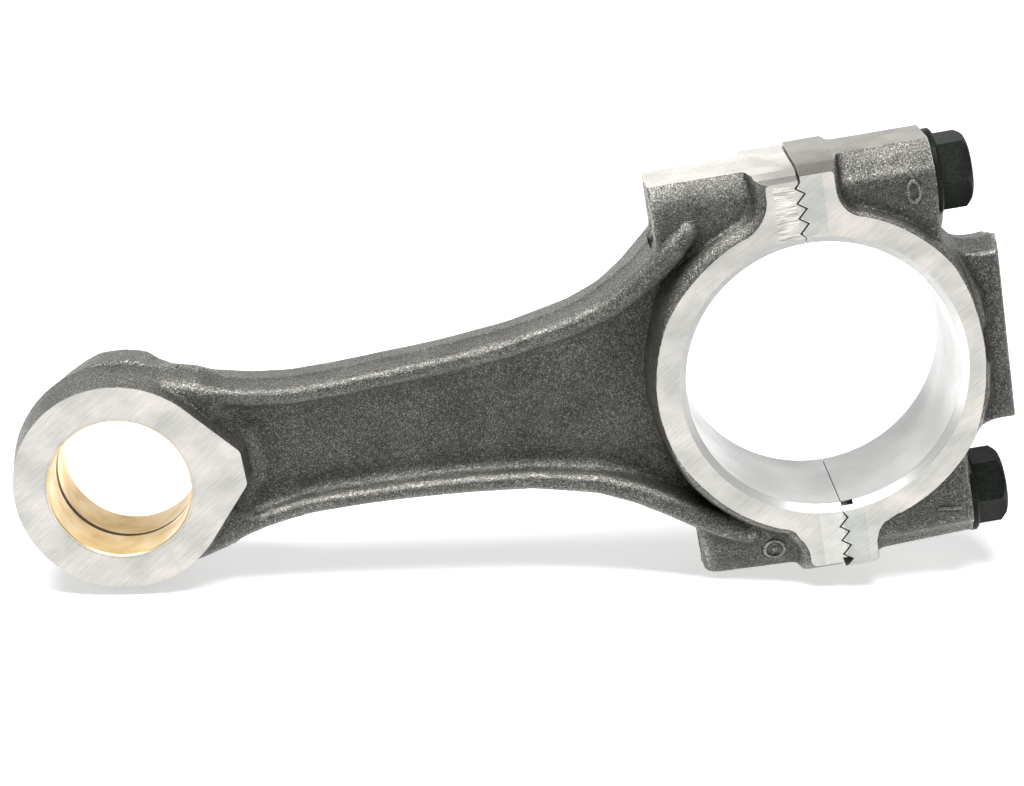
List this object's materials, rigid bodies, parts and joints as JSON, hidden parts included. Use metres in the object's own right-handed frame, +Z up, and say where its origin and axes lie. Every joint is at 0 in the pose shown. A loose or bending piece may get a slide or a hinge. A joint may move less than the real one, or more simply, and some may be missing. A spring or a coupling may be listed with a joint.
{
  "type": "connecting rod",
  "caption": "Forged I-beam connecting rod with a serrated straight split, a bolted bearing cap, round bolt bosses, a balance pad and bronze-lined small-end bushes.",
  "frame": {"origin": "on the ground, at the bottom centre of the bounding box, with the rod standing on its edge", "axes": "+X runs level from the small end to the bearing cap, +Y along both bores from the front face to the rear face, +Z up; the rod axis rises 9.5 degrees towards the cap"},
  "size_m": [0.2264, 0.0314, 0.1018],
  "materials": {
    "forged_steel": "shot-blasted forging skin, with milled and bored faces left bright",
    "bush_bronze": "fine-bored bearing bronze with a grey steel back",
    "bolt_steel": "black oxide, satin"
  },
  "bodies": {
    "rod": {"rod_body": "forged_steel", "small_end_bush_front": "bush_bronze", "small_end_bush_rear": "bush_bronze"},
    "cap": {"bearing_cap": "forged_steel"},
    "upper_washer": {"upper_washer": "bolt_steel"},
    "upper_bolt": {"upper_bolt": "bolt_steel"},
    "lower_washer": {"lower_washer": "bolt_steel"},
    "lower_bolt": {"lower_bolt": "bolt_steel"}
  },
  "joints": [
    {"name": "cap_slide", "type": "slide", "parent": "rod", "child": "cap", "axis": [0.9876, 0, 0.1569], "range_m": [0, 0.06]},
    {"name": "upper_bolt_slide", "type": "slide", "parent": "cap", "child": "upper_washer", "axis": [0.9876, 0, 0.1569], "range_m": [0, 0.02]},
    {"name": "upper_bolt_spin", "type": "hinge", "parent": "upper_washer", "child": "upper_bolt", "pos_m": [0.09158, 0, 0.09194], "axis": [0.9876, 0, 0.1569], "range_deg": [0, 5760]},
    {"name": "lower_bolt_slide", "type": "slide", "parent": "cap", "child": "lower_washer", "axis": [0.9876, 0, 0.1569], "range_m": [0, 0.02]},
    {"name": "lower_bolt_spin", "type": "hinge", "parent": "lower_washer", "child": "lower_bolt", "pos_m": [0.10327, 0, 0.01836], "axis": [0.9876, 0, 0.1569], "range_deg": [0, 5760]}
  ],
  "couplings": [
    {"joint": "upper_bolt_spin", "follows": "upper_bolt_slide", "rad_per_m": 5026.5},
    {"joint": "lower_bolt_spin", "follows": "lower_bolt_slide", "rad_per_m": 5026.5}
  ]
}
